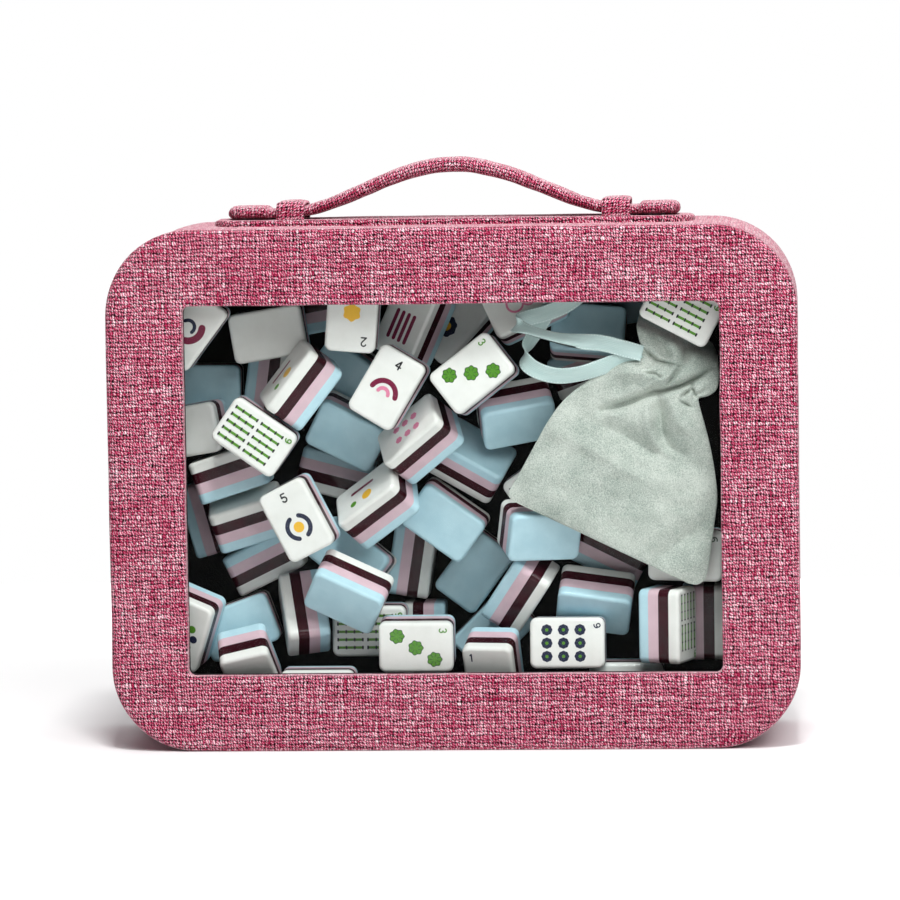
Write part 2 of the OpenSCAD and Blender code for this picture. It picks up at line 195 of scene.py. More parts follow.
# Distance between neighbouring yarns, in millimetres, and the colours they are spun from
WARP_PITCH, WEFT_PITCH = 1.3, 1.62
YARN_STOPS = [
    (0.0, srgb(132, 6, 46)), (0.3, srgb(176, 28, 74)), (0.46, srgb(200, 74, 112)),
    (0.6, srgb(216, 140, 162)), (0.76, srgb(244, 198, 210)), (1.0, srgb(255, 248, 248))]


def coarse_tweed():
    """Coarse plain weave of two-ply melange yarns with open pores: warp along V, weft along U; the pores
    carry painted shade and slanted views a painted sheen.
    """
    g = Graph("tweed")
    u, v = g.uv()
    sway_u = g.grain(g.vector(u * 0.35, v * 0.12, 3.0), 1.0, 1.0) - 0.5
    sway_v = g.grain(g.vector(u * 0.12, v * 0.35, 9.0), 1.0, 1.0) - 0.5
    a = (u + sway_u * 2.0) / WARP_PITCH
    b = (v + sway_v * 2.4) / WEFT_PITCH
    i, j = a.floor(), b.floor()
    fa, fb = a.fract() - 0.5, b.fract() - 0.5
    over = 1.0 - (i + j).math("FLOORED_MODULO", 2.0) * 2.0
    # The round tops of the yarns, narrower than their pitch so that pores stay open between them
    round_a = (1.0 - fa * fa * 5.4).math("MAXIMUM", 0.0).math("SQRT")
    round_b = (1.0 - fb * fb * 5.4).math("MAXIMUM", 0.0).math("SQRT")
    warp = (over * (fb * math.pi).math("COSINE") * 0.45 + 0.7) * round_a
    weft = (over * (fa * math.pi).math("COSINE") * -0.45 + 0.7) * round_b
    height = warp.math("MAXIMUM", weft)
    on_top = (warp - weft).smooth(-0.05, 0.05)
    # The twist of the plies, the uneven dye and the slubs
    warp_ply = (fa * 6.0 + v * 5.6 + i * 2.3).math("SINE")
    weft_ply = (fb * 6.0 + u * 6.1 + j * 1.7).math("SINE")
    warp_tone = g.grain(g.vector(i * 3.71, v * 0.4, 1.0), 1.0, 2.0, 0.6)
    weft_tone = g.grain(g.vector(u * 0.35, j * 3.37, 5.0), 1.0, 2.0, 0.6)
    warp_slub = g.grain(g.vector(i * 0.83, v * 0.03, 2.0), 1.0, 1.0)
    weft_slub = g.grain(g.vector(u * 0.03, j * 0.83, 7.0), 1.0, 1.0)
    speck = g.grain(g.vector(u * 3.4, v * 3.4, 4.0), 1.0, 1.0) - 0.5
    openness = g.grain(g.vector(i * 0.7 + u * 0.3, j * 0.7 + v * 0.3, 11.0), 1.0, 2.0) - 0.5
    warp_shade = (warp_tone - 0.5) * 0.95 + (warp_slub - 0.5) * 0.9 + warp_ply * 0.24 + 0.45
    weft_shade = (weft_tone - 0.5) * 0.95 + (weft_slub - 0.5) * 0.9 + weft_ply * 0.24 + 0.48
    shade = weft_shade + on_top * (warp_shade - weft_shade) + speck * 1.1
    yarn = g.ramp(shade, YARN_STOPS)
    # Painted shade: the pores and the low parts of the yarns are mixed towards near black, where shade falls
    # between the yarns; the pores themselves are real gaps
    colour = g.mix((height + speck * 0.5 + openness * 0.7).smooth(0.42, 0.88), srgb(10, 0, 4), yarn)
    # Painted sheen: seen at a slant, the colour is mixed towards paler pinks, as the hairs of the yarns catch
    # the light there and hide the pores
    facing = g.node("ShaderNodeLayerWeight", sockets={"Blend": 0.35}, out=1)
    painted_sheen_colour = g.mix(shade.smooth(0.2, 0.8), srgb(204, 92, 122), srgb(255, 242, 244))
    colour_with_painted_sheen = g.mix(facing.smooth(0.4, 0.8) * 0.6, colour, painted_sheen_colour)
    g.set(Base_Color=colour_with_painted_sheen, Roughness=0.9, Sheen_Weight=0.08, Sheen_Roughness=0.5,
          Specular_IOR_Level=0.1, Normal=g.bump(height + speck * 0.3, 0.0005, 0.8))
    return g.material


tweed = coarse_tweed()


def plain(name, colour, roughness, **more):
    """One even colour."""
    g = Graph(name)
    g.set(Base_Color=colour, Roughness=roughness, **more)
    return g.material


def mottled(name, first, second, scale, roughness, height=0.0, **more):
    """Two colours mixed by a fine grain, with a little relief."""
    g = Graph(name)
    grain = g.grain(g.spot(), scale, 4.0, 0.6)
    g.set(Base_Color=g.mix(grain, first, second), Roughness=roughness, **more)
    if height:
        g.set(Normal=g.bump(grain, height))
    return g.material


fibreboard = mottled("fibreboard", srgb(150, 138, 122), srgb(190, 178, 160), 900.0, 0.9, 0.0002)
velvet = mottled("charcoal_velvet", srgb(14, 14, 15), srgb(32, 32, 34), 1500.0, 0.95, 0.0003)
steel = mottled("plate_steel", srgb(150, 150, 152), srgb(190, 190, 194), 300.0, 0.35, 0.0, Metallic=1.0)
nickel = plain("magnet_nickel", srgb(205, 205, 208), 0.2, Metallic=1.0)


def resin(name, colour, deeper):
    """Polished tile resin with a faint cloudiness."""
    g = Graph(name)
    cloud = g.grain(g.spot(), 90.0, 3.0, 0.6)
    g.set(Base_Color=g.mix(cloud.smooth(0.25, 0.75), colour, deeper), Roughness=0.5, Coat_Weight=0.4,
          Coat_Roughness=0.05, Specular_IOR_Level=0.05)
    return g.material


tile_white = resin("tile_white", srgb(236, 235, 230), srgb(228, 227, 221))
tile_burgundy = resin("tile_burgundy", srgb(56, 10, 22), srgb(44, 8, 16))
tile_pink = resin("tile_pink", srgb(220, 190, 198), srgb(208, 178, 187))
tile_blue = resin("tile_blue", srgb(190, 222, 231), srgb(176, 210, 221))
paint = {
    "green": plain("paint_green", srgb(84, 142, 38), 0.35),
    "deep": plain("paint_deep_green", srgb(40, 74, 44), 0.35),
    "navy": plain("paint_navy", srgb(26, 32, 60), 0.35),
    "burgundy": plain("paint_burgundy", srgb(120, 22, 58), 0.35),
    "pink": plain("paint_pink", srgb(222, 130, 160), 0.35),
    "yellow": plain("paint_yellow", srgb(240, 184, 48), 0.35),
    "black": plain("paint_black", srgb(30, 30, 32), 0.35)}


def suede():
    """Pale mint suede: short grainy nap with soft cloudy marks."""
    g = Graph("mint_suede")
    cloud = g.grain(g.spot(), 60.0, 3.0, 0.55)
    nap = g.grain(g.spot(), 2000.0, 2.0, 0.6)
    tone = cloud * 0.4 + nap * 0.6
    g.set(Base_Color=g.mix(tone.smooth(0.34, 0.66), srgb(150, 160, 151), srgb(208, 212, 203)), Roughness=0.95,
          Sheen_Weight=0.15, Sheen_Roughness=0.5, Specular_IOR_Level=0.08, Normal=g.bump(nap, 0.0004, 0.7))
    return g.material


def satin():
    """Ribbon satin: fine ribs along its length and a stitched edge on both sides."""
    g = Graph("ribbon_satin")
    u, v = g.uv()
    rib = (u * 9.0).math("SINE")
    edge = u.math("ABSOLUTE").smooth(2.75, 2.9) * (1.0 - u.math("ABSOLUTE").smooth(3.15, 3.3))
    stitch = edge * (v * 5.2).math("SINE").smooth(-0.2, 0.4)
    shade = g.grain(g.vector(u * 0.9, v * 0.12), 1.0, 2.0)
    cloth = g.mix(shade, srgb(170, 195, 192), srgb(194, 213, 208))
    g.set(Base_Color=g.mix(stitch * 0.75, cloth, srgb(226, 236, 234)), Roughness=0.33, Sheen_Weight=0.2,
          Specular_IOR_Level=0.6, Normal=g.bump(rib + stitch * 2.0, 0.00004, 0.6))
    return g.material


def clear_pane():
    """Clear acrylic: see-through, with a weak reflection that grows at a slant."""
    g = Graph("clear_pane")
    through = g.node("ShaderNodeBsdfTransparent", sockets={"Color": (0.97, 0.985, 0.985)})
    shine = g.node("ShaderNodeBsdfGlossy", sockets={"Roughness": 0.02})
    slant = g.node("ShaderNodeLayerWeight", sockets={"Blend": 0.5}, out=1)
    share = slant.math("POWER", 5.0) * 0.2 + 0.002
    both = g.node("ShaderNodeMixShader", sockets={0: share, 1: through, 2: shine})
    g.tree.nodes.remove(g.principled)
    g.tree.links.new(both.socket, g.output.inputs[0])
    return g.material


mint_suede = suede()
ribbon_satin = satin()
pane_clear = clear_pane()


# ---- shapes ----


def link(name, verts, faces, materials, uvs=None, face_slots=None):
    """A smooth mesh object from points in millimetres; uvs gives one pair per point."""
    mesh = bpy.data.meshes.new(name)
    mesh.from_pydata([tuple(c * MM for c in p) for p in verts], [], faces)
    if uvs is not None:
        layer = mesh.uv_layers.new(name="UVMap")
        for corner in mesh.loops:
            layer.data[corner.index].uv = uvs[corner.vertex_index]
    for material in materials:
        mesh.materials.append(material)
    if face_slots is not None:
        mesh.polygons.foreach_set("material_index", face_slots)
    mesh.polygons.foreach_set("use_smooth", [True] * len(mesh.polygons))
    mesh.validate()
    mesh.update()
    made = bpy.data.objects.new(name, mesh)
    scene.collection.objects.link(made)
    return made


def grid_faces(rows, columns, flip=False):
    """Quads between rows of points, each row closing on itself."""
    faces = []
    for r in range(rows - 1):
        for c in range(columns):
            n = (c + 1) % columns
            quad = (r * columns + c, r * columns + n, (r + 1) * columns + n, (r + 1) * columns + c)
            faces.append(quad[::-1] if flip else quad)
    return faces


def ends(rows, columns):
    """The two faces that close a tube of rows."""
    return [tuple(range(columns))[::-1], tuple((rows - 1) * columns + n for n in range(columns))]


def rounded_loop(width, height, radius, along_x, along_z, in_corner):
    """Points round a rounded rectangle, from the left end of its top: (x, z, out x, out z)."""
    flat_x, flat_z = width / 2 - radius, height / 2 - radius
    points = []
    sides = ((1, 1, 0), (1, -1, 1), (-1, -1, 2), (-1, 1, 3))
    for sx, sz, k in sides:
        count = along_x if k % 2 == 0 else along_z
        span = flat_x if k % 2 == 0 else flat_z
        turn = math.radians(90 - 90 * k)
        out = (math.cos(turn), math.sin(turn))
        on = (math.sin(turn), -math.cos(turn))
        base = height / 2 if k % 2 == 0 else width / 2
        for n in range(count):
            s = -span + 2 * span * n / count
            points.append((out[0] * base + on[0] * s, out[1] * base + on[1] * s, out[0], out[1]))
        for n in range(in_corner):
            t = turn - math.radians(90) * n / in_corner
            points.append((sx * flat_x + radius * math.cos(t), sz * flat_z + radius * math.sin(t),
                           math.cos(t), math.sin(t)))
    return points


def quarter(count):
    """Angles from 0 to a right angle."""
    return [math.radians(90) * n / count for n in range(count + 1)]


CASE_LOOP = rounded_loop(CASE_W, CASE_H, CORNER_R, 60, 44, 22)
WINDOW_LOOP = rounded_loop(WINDOW_W, WINDOW_H, WINDOW_R, 60, 44, 22)
CASE_MID = CASE_H / 2


def loop_lengths(loop):
    """Distance along a loop at each of its points."""
    total, lengths = 0.0, []
    for n, point in enumerate(loop):
        if n:
            total += math.hypot(point[0] - loop[n - 1][0], point[1] - loop[n - 1][1])
        lengths.append(total)
    return lengths


def settle(made, size, scale=45.0):
    """The slow unevenness of stretched fabric, along the normals; it fades out at the very bottom."""
    normals = [one.vector.copy() for one in made.data.vertex_normals]
    for point, normal in zip(made.data.vertices, normals):
        share = min(1.0, max(0.0, point.co.z / (SETTLE_FADE * MM)))
        point.co += normal * (size * MM * share * noise.noise(point.co * scale))
    return made


def row(loop, out, y, drawn, planar=True):
    """One row of a skin, out from the loop: (x, y, z, u, v). drawn is the distance along the fabric."""
    made = []
    for (x, z, ox, oz), s in zip(loop, loop_lengths(loop)):
        cloth = (x + ox * drawn, z + oz * drawn) if planar else (s, drawn)
        made.append((x + ox * out, y, z + oz * out + CASE_MID, *cloth))
    return made


def between(first, second, share):
    """A row part of the way from the first to the second."""
    return [tuple(a + (b - a) * share for a, b in zip(p, q)) for p, q in zip(first, second)]


def close_seam(made, axis, girths, count):
    """Where a face spans the seam of the fabric, its low coordinates go on from the high ones."""
    layer = made.data.uv_layers[0]
    for polygon in made.data.polygons:
        loops = list(polygon.loop_indices)
        drawn = [layer.data[k].uv[axis] for k in loops]
        if len(loops) == 4 and max(drawn) - min(drawn) > min(girths) / 2:
            for k in loops:
                girth = girths[made.data.loops[k].vertex_index // count]
                if layer.data[k].uv[axis] < girth / 2:
                    layer.data[k].uv[axis] += girth


def skin(name, rows, girth=None):
    """A skin of tweed over closed rows; girth is the fabric's length round a row, if it runs round."""
    verts = [p[:3] for one in rows for p in one]
    uvs = [p[3:] for one in rows for p in one]
    made = link(name, verts, grid_faces(len(rows), len(rows[0])), [tweed], uvs)
    if girth:
        close_seam(made, 0, [girth] * len(rows), len(rows[0]))
    return made


# ---- covers ----


def wall_fabric():
    """The wall's fabric: turned in over the rim, round the wall and onto the back."""
    def ring(out, y, drawn):
        return row(CASE_LOOP, out, y, drawn, False)

    def rim(t):
        return ring(RIM_R * (math.sin(t) - 1), start - RIM_R * math.cos(t), -0.8 + t * RIM_R)

    def edge(t):
        return ring(EDGE_R * (math.cos(t) - 1), end + EDGE_R * math.sin(t), depth + t * EDGE_R)

    start, end = RIM_Y + RIM_R, BACK_Y - EDGE_R
    depth, flat = end - RIM_Y, TURN_IN - EDGE_R - 0.4
    rows = [ring(-LINING_IN, RIM_Y + 0.4, -11.0), ring(0.3 - LINING_IN, RIM_Y, -10.4)]
    rows += [ring(-5.0, RIM_Y, -5.5)] + [rim(t) for t in quarter(3)]
    for n in range(1, 16):
        y = start + (end - start) * n / 16
        rows.append(ring(0.0, y, y - RIM_Y))
    rows += [edge(t) for t in quarter(5)]
    rows += [ring(-EDGE_R - flat * n / 3, BACK_Y, depth + 4.7 + 2.2 * n) for n in (1, 2, 3)]
    rows += [ring(-TURN_IN, BACK_Y - 0.5, depth + 12)]
    girth = loop_lengths(CASE_LOOP)[-1] + 4.0
    return settle(skin("wall_fabric", rows, girth=girth), 0.25)


def lid_fabric():
    """The front's fabric: out of the window, over the front and the edge, and in again behind."""
    hole = 1.4
    rows = [row(WINDOW_LOOP, 0.0, y, FRONT_Y - y + 0.6) for y in (PANE_Y, -40.5, -42.0)]
    rows += [row(WINDOW_LOOP, hole * (1 - math.cos(t)), FRONT_Y + hole * (1 - math.sin(t)), hole * (t - 0.57))
             for t in quarter(5)]
    inner, outer = rows[-1], row(CASE_LOOP, -EDGE_R, FRONT_Y, -EDGE_R)
    rows += [between(inner, outer, n / 14) for n in range(1, 14)]
    rows += [row(CASE_LOOP, EDGE_R * (math.sin(t) - 1), FRONT_Y + EDGE_R * (1 - math.cos(t)),
                 EDGE_R * (t - 1)) for t in quarter(6)]
    rows += [row(CASE_LOOP, 0.0, y, y - FRONT_Y - EDGE_R + 1.7) for y in (-40.2, -38.4, -36.8)]
    rows += [row(CASE_LOOP, RIM_R * (math.cos(t) - 1), LID_END_Y - RIM_R * (1 - math.sin(t)), 7.6 + t * RIM_R)
             for t in quarter(3)]
    rows += [row(CASE_LOOP, -TURN_IN * n / 3, LID_END_Y, 9.0 + 3 * n) for n in (1, 2, 3)]
    rows += [row(CASE_LOOP, -TURN_IN, LID_END_Y - 0.8, 19.0)]
    return settle(skin("lid_fabric", rows), 0.25)


def back_panel():
    """The glued fabric panel of the back, with a rounded edge."""
    soft, inset = 0.5, TURN_IN + 0.3
    width = CORNER_R - inset - 3
    rows = [row(CASE_LOOP, -inset, BACK_Y - 1.1, 1.0 - inset)]
    rows += [row(CASE_LOOP, -inset - soft * (1 - math.cos(t)), BACK_Y - soft * (1 - math.sin(t)), -inset - t)
             for t in quarter(3)]
    for n in range(1, 9):
        inward = -inset - soft - width * n / 8
        rows.append(row(CASE_LOOP, inward, BACK_Y, inward))
    made = skin("back_fabric", rows)
    ring = len(CASE_LOOP)
    mesh = bmesh.new()
    mesh.from_mesh(made.data)
    mesh.verts.ensure_lookup_table()
    cap = mesh.faces.new([mesh.verts[(len(rows) - 1) * ring + n] for n in range(ring)])
    layer = mesh.loops.layers.uv[0]
    for corner in cap.loops:
        corner[layer].uv = (corner.vert.co.x / MM, corner.vert.co.z / MM - CASE_MID)
    cap.smooth = True
    mesh.to_mesh(made.data)
    mesh.free()
    return made


def strip(name, sections):
    """A closed tube of tweed through sections, each a list of (x, y, z, u, v) round the piece."""
    count = len(sections[0])
    verts = [p[:3] for one in sections for p in one]
    uvs = [p[3:] for one in sections for p in one]
    faces = grid_faces(len(sections), count) + ends(len(sections), count)
    made = link(name, verts, faces, [tweed], uvs)
    girths = []
    for one in sections:
        first, last = min(one, key=lambda p: p[4]), max(one, key=lambda p: p[4])
        girths.append(last[4] + math.dist(first[:3], last[:3]))
    close_seam(made, 1, girths, count)
    return made


# ---- handle ----


def strap_lift(x):
    """How far the strap's arch stands above its ends."""
    if abs(x) >= STRAP_SPAN:
        return 0.0
    return STRAP_RISE * (0.5 + 0.5 * math.cos(math.pi * x / STRAP_SPAN)) ** STRAP_CURVE


def strap_thick(x):
    """The strap is thicker towards the middle of its arch."""
    return STRAP_END_T + (STRAP_MID_T - STRAP_END_T) * math.sqrt(strap_lift(x) / STRAP_RISE)


def puffed(half_w, half_t, count, power, seam=0.0):
    """Cross-section of a wrapped strap: (across, up) with a groove at the seam of its thin under layer."""
    points = []
    for n in range(count):
        t = 2 * math.pi * n / count
        c, s = math.cos(t), math.sin(t)
        across = half_w * math.copysign(abs(c) ** (2 / power), c)
        up = half_t * math.copysign(abs(s) ** (2 / power), s)
        if seam:
            dip = math.exp(-((up / half_t + 0.38) / 0.16) ** 2) * seam
            across -= math.copysign(dip, c) * min(1.0, abs(c) * 2)
        points.append((across, up))
    return points


def rounding(x, end, radius):
    """1 on the flat, falling to 0 at the end like a quarter round."""
    return math.sqrt(max(0.0, 1 - ((x - end + radius) / radius) ** 2)) if x > end - radius else 1.0


def strap_half(side):
    """Half of the strap, from the middle of its arch to its free end pad."""
    name = "strap_left" if side < 0 else "strap_right"
    from_tip = (0.0, 0.25, 0.9, 2.0, 3.5, 5.5, 8.0, 11.0, 13.5, 14.8, 15.6, 16.2, 16.8, 17.4)
    stations = [PAD_END - d for d in from_tip]
    stations += [PAD_X - 0.2 - d for d in (0, 1.2, 2.6, 4.2)]
    stations += [STRAP_SPAN * (1 - n / 48) for n in range(49)]
    sections, length, before = [], 0.0, None
    for x in stations:
        lift, thick = strap_lift(x), strap_thick(x)
        slope = (strap_lift(x + 0.5) - strap_lift(x - 0.5)) if x < STRAP_SPAN else 0.0
        half_w, half_t, mid = STRAP_W / 2, thick / 2, STRAP_Z + lift
        if x > PAD_X - 5:
            inward = max(0.0, min(1.0, (x - PAD_X + 0.5) / 2.4))
            inward = inward * inward * (3 - 2 * inward)
            edge, tip = rounding(x, PAD_END, 9.0), rounding(x, PAD_END, 2.6)
            half_w = (STRAP_W / 2 + (PAD_W - STRAP_W) / 2 * inward) * (0.42 + 0.58 * edge)
            dome = 1 - 0.22 * ((x - 87.0) / 9.0) ** 2 if x > PAD_X else 1.0
            top = STRAP_END_T + (PAD_T - STRAP_END_T) * inward * dome
            half_t = max(0.06, top / 2 * (0.08 + 0.92 * tip))
            mid = STRAP_Z - STRAP_END_T / 2 + top / 2 - 0.35 * (1 - tip)
        if before:
            length += math.hypot(x - before[0], mid - before[1])
        before = (x, mid)
        norm = math.hypot(1.0, slope)
        shape = puffed(half_w, half_t, 44, 2.9, 0.35 if x < PAD_X - 4 else 0.0)
        ring = [(side * (x - up * slope / norm), across, mid + up / norm, length, drawn)
                for (across, up), drawn in zip(shape, loop_lengths(shape))]
        if side > 0:
            ring = [ring[0]] + ring[:0:-1]
        sections.append(ring)
    return settle(strip(name, sections), 0.28, 120.0)


def keeper_loop(side):
    """A fabric band over the strap, down into the slots on both sides of it."""
    half, top, foot = KEEPER_IN + KEEPER_T / 2, KEEPER_TOP + KEEPER_T / 2, PATCH_TOP - 1.5
    bend = 3.2
    path = [(-half, foot), (-half, foot + 1.5)]
    path += [(-half + bend * (1 - math.cos(t)), top - bend * (1 - math.sin(t))) for t in quarter(6)]
    path += [(-half + bend + (2 * half - 2 * bend) * n / 8, top) for n in range(1, 8)]
    path += [(half - bend * (1 - math.sin(t)), top - bend * (1 - math.cos(t))) for t in quarter(6)]
    path += [(half, foot + 1.5), (half, foot)]
    sections = []
    for n, ((y, z), length) in enumerate(zip(path, loop_lengths(path))):
        a, b = path[max(n - 1, 0)], path[min(n + 1, len(path) - 1)]
        run = math.hypot(b[0] - a[0], b[1] - a[1])
        out = (-(b[1] - a[1]) / run, (b[0] - a[0]) / run)
        shape = puffed(KEEPER_W / 2, KEEPER_T / 2, 28, 3.2)
        crown = 0.25 if 6 < n < len(path) - 6 else 0.0
        ring = []
        for (across, up), drawn in zip(shape, loop_lengths(shape)):
            rise = up + (crown * (1 - (across / 6) ** 2) if up > 0 else 0.0)
            ring.append((side * KEEPER_X + across, y + out[0] * rise, z + out[1] * rise,
                         length + 300, drawn))
        sections.append(ring)
    name = "keeper_band_left" if side < 0 else "keeper_band_right"
    return settle(strip(name, sections), 0.2, 150.0)


def patch_pad():
    """The wrapped pad under the strap, with softly rounded edges."""
    loop = rounded_loop(PATCH_L, PATCH_W, PATCH_R, 40, 8, 12)
    soft = 1.6
    rows = [(0.0, CASE_H - 0.4, 2.4)]
    rows += [(soft * (math.cos(t) - 1), PATCH_TOP - soft * (1 - math.sin(t)), 1.3 - t * soft)
             for t in quarter(6)]
    rows += [(-soft - n * 2.0, PATCH_TOP, -soft - n * 2.0) for n in range(1, 6)]
    verts, uvs = [], []
    for out, z, drawn in rows:
        for x, y, ox, oy in loop:
            verts.append((x + ox * out, y + oy * out, z))
            uvs.append((x + ox * drawn, y + oy * drawn + 400))
    faces = grid_faces(len(rows), len(loop), True)
    faces.append(ends(len(rows), len(loop))[1][::-1])
    return settle(link("handle_patch", verts, faces, [tweed], uvs), 0.15, 90.0)


def hinge_fabric():
    """The fabric hinge under the seam at the bottom of the front, thinner at its two ends."""
    verts, uvs, faces = [], [], []
    across, along = 28, 60
    for top in (False, True):
        for i in range(across + 1):
            for j in range(along + 1):
                x, y = HINGE_L * (j / along - 0.5), RIM_Y + HINGE_W * (i / across - 0.5)
                low = 0.37 if j in (0, along) else 0.25
                verts.append((x, y, 1.15 if top else low))
                uvs.append((x, y + 500))
    size, step = (across + 1) * (along + 1), along + 1
    for i in range(across):
        for j in range(along):
            a = i * step + j
            b = a + size
            faces += [(a, a + step, a + step + 1, a + 1), (b, b + 1, b + step + 1, b + step)]
    rim = list(range(step)) + [i * step + along for i in range(1, across + 1)]
    rim += [across * step + j for j in range(along - 1, -1, -1)]
    rim += [i * step for i in range(across - 1, 0, -1)]
    for a, b in zip(rim, rim[1:] + rim[:1]):
        faces.append((a, b, b + size, a + size))
    return link("hinge_fabric", verts, faces, [tweed], uvs)


# ---- tiles ----

TILE_L, TILE_W, TILE_T, TILE_R = 31.5, 21.5, 18.4, 3.0
TILE_FRONT, TILE_GAP = -34.6, 0.3
# x, z, side towards the window, turn, tip, swing, distance kept from the window, what is painted on the face
TILES = [
    (-27, 152, "face", 59, -6, 0, 0, "arcs"),
    (-84, 132, "face", 145, 0, 0, 0, "canes_turned"),
    (9, 157, "face", 38, -9, 0, 0, "dots3"),
    (-66, 97, "face", 117, -7, 0, 0, "sun"),
    (-46, 65, "back", -25, 36, 0, 0, ""),
    (-17, 43, "face", 0, 5, 0, 0, "dots3"),
    (47, 43, "face", 0, -5, 0, 0, "dots9"),
    (97, 184, "face", -28, 0, 0, 0, "canes"),
    (-65, 153, "long", 52, 20, 0, 0, "marks"),
    (-15, 129, "long", 48, 33, 15, 0, "small_dots"),
    (25, 139, "long", 21, -50, -15, 3, ""),
    (-34, 101, "long", 44, 28, 15, 0, "marks"),
    (5, 118, "long", 150, -38, 0, 0, ""),
    (-6, 93, "back", -36, 10, 0, 0, ""),
    (-47, 131, "back", -27, 15, 0, 0, ""),
    (-67, 54, "long", 96, 10, -30, 0, ""),
    (35, 90, "back", -8, 18, -22, 4, ""),
    (26, 63, "long", -123, 0, -22, 0, ""),
    (89, 50, "long", -90, 20, 0, 0, "canes"),
    (58, 59, "long", -8, -50, 0, 0, ""),
    (15, 31, "face", 90, -10, 24, 0, "one"),
    (-89, 33, "face", 103, 0, 42, 0, ""),
    (-115, 50, "face", 68, -10, 18, 0, "ring"),
    (-97, 115, "long", 18, 0, 0, 0, ""),
    (-90, 95, "long", 17, 15, 0, 0, ""),
    (-18, 177, "face", 66, -28, 0, 0, "bars"),
    (-39, 46, "face", 0, 0, 0, 0, "canes"),
    (5, 69, "back", 53, 0, 0, 0, ""),
    (-85, 75, "long", -154, 0, 0, 0, ""),
    (97, 79, "face", -2, 0, 0, 13, "dots_deep"),
    (64, 77, "long", -27, 0, 0, 12, ""),
    (-115, 133, "face", 10, 0, 12, 0, ""),
    (-80, 174, "face", 9, 0, 0, 24, ""),
    (-1, 175, "face", 47, -20, 0, 0, "one"),
    (30, 185, "face", 25, -18, 0, 12, "eight"),
    (-82, 155, "long", -98, 0, 0, 0, ""),
    (-110, 93, "long", -75, 0, 0, 0, ""),
    (-22, 74, "long", -99, 0, 0, 0, ""),
    (104, 49, "long", -90, 0, 0, 0, ""),
    (-110, 149, "back", 0, 0, 0, 12, ""),
    (56, 172, "back", -5, -20, 0, 13, ""),
    (-112, 178, "face", 53, 0, 0, 4, "crescent"),
    (37, 108, "face", 35, 0, 0, 14, "canes"),
    (55, 156, "long", 200, 0, 0, 14, ""),
    (64, 184, "back", 12, 0, 0, 14, ""),
    (-57, 183, "long", 10, 0, 0, 18, ""),
    (-42, 183, "face", -95, 0, 0, 4, "two"),
    (-48, 155, "back", -38, 10, 0, 0, ""),
    (-55, 111, "long", 165, 0, 0, 0, ""),
    (-47, 77, "back", -38, 0, 12, 0, ""),
    (-59, 22, "face", 0, 0, 0, 0, ""),
    (-17, 40, "long", 90, 0, 0, 0, ""),
    (13, 43, "back", 45, 0, 0, 0, ""),
    (71, 22, "face", 0, 0, 0, 0, ""),
    (-95, 48, "back", 20, 0, 0, 0, "")
]
HALF = (TILE_L / 2, TILE_W / 2, TILE_T / 2)
SIDE_TURN = {"face": 90, "back": -90, "long": 0}


def tile_turn(tile):
    """The turn of a tile: about the view, then its tip and its swing, then the side it shows."""
    turns = [(-tile[3], "Y"), (tile[4], "X"), (-tile[5], "Z"), (SIDE_TURN[tile[2]], "X")]
    made = Matrix.Identity(3)
    for angle, axis in turns:
        made = made @ Matrix.Rotation(math.radians(angle), 3, axis)
    return made


def reach(turn, direction):
    """Half of a tile's length in a direction."""
    return sum(abs(turn.col[k].dot(direction)) * HALF[k] for k in range(3))


def blocked(middle, turn, x, z, other):
    """The depths (low, high) at which a tile at x, z would overlap one already laid, or None."""
    directions = list(turn.col) + list(other.col)
    for a in turn.col:
        for b in other.col:
            across = a.cross(b)
            if across.length > 0.01:
                directions.append(across.normalized())
    low, high = -999.0, 999.0
    for d in directions:
        room = reach(turn, d) + reach(other, d) + TILE_GAP
        s = (x - middle[0]) * d[0] + (z - middle[2]) * d[2]
        if abs(d[1]) < 0.001:
            if abs(s) >= room:
                return None
            continue
        ends = sorted(((-room - s) / d[1], (room - s) / d[1]))
        low, high = max(low, middle[1] + ends[0]), min(high, middle[1] + ends[1])
    return (low, high) if low < high else None


def lay_tiles():
    """Each tile as (middle, turn), as near the window as those before it allow."""
    laid = []
    for tile in TILES:
        turn = tile_turn(tile)
        start = TILE_FRONT + tile[6] + reach(turn, Vector((0, 1, 0)))
        blocks = [span for span in (blocked(m, t, tile[0], tile[1], turn) for m, t in laid) if span]
        depths = [y for y in [start] + [span[1] for span in blocks]
                  if y >= start and not any(low + 0.01 < y < high - 0.01 for low, high in blocks)]
        laid.append((Vector((tile[0], min(depths), tile[1])), turn))
    return laid


def disc(x, y, radius, colour, lobes=0, depth=0.0, count=28):
    """A round patch, with shallow lobes in its edge if lobes is set."""
    points = []
    for n in range(count):
        t = 2 * math.pi * n / count
        r = radius * (1 + depth * math.cos(lobes * t))
        points.append((x + r * math.cos(t), y + r * math.sin(t)))
    return [(points, colour)]


def stroke(points, width, colour):
    """A painted line with round ends through points, as one patch per length."""
    patches = []
    for (x0, y0), (x1, y1) in zip(points, points[1:]):
        run = math.atan2(y1 - y0, x1 - x0)
        outline = []
        for x, y, start in ((x1, y1, run - math.pi / 2), (x0, y0, run + math.pi / 2)):
            turns = [start + math.pi * n / 6 for n in range(7)]
            outline += [(x + width / 2 * math.cos(t), y + width / 2 * math.sin(t)) for t in turns]
        patches.append((outline, colour))
    return patches


def curve(x, y, radius, start, end, count=10):
    """Points on an arc, with its start and end in degrees."""
    turns = [math.radians(start + (end - start) * n / count) for n in range(count + 1)]
    return [(x + radius * math.cos(t), y + radius * math.sin(t)) for t in turns]


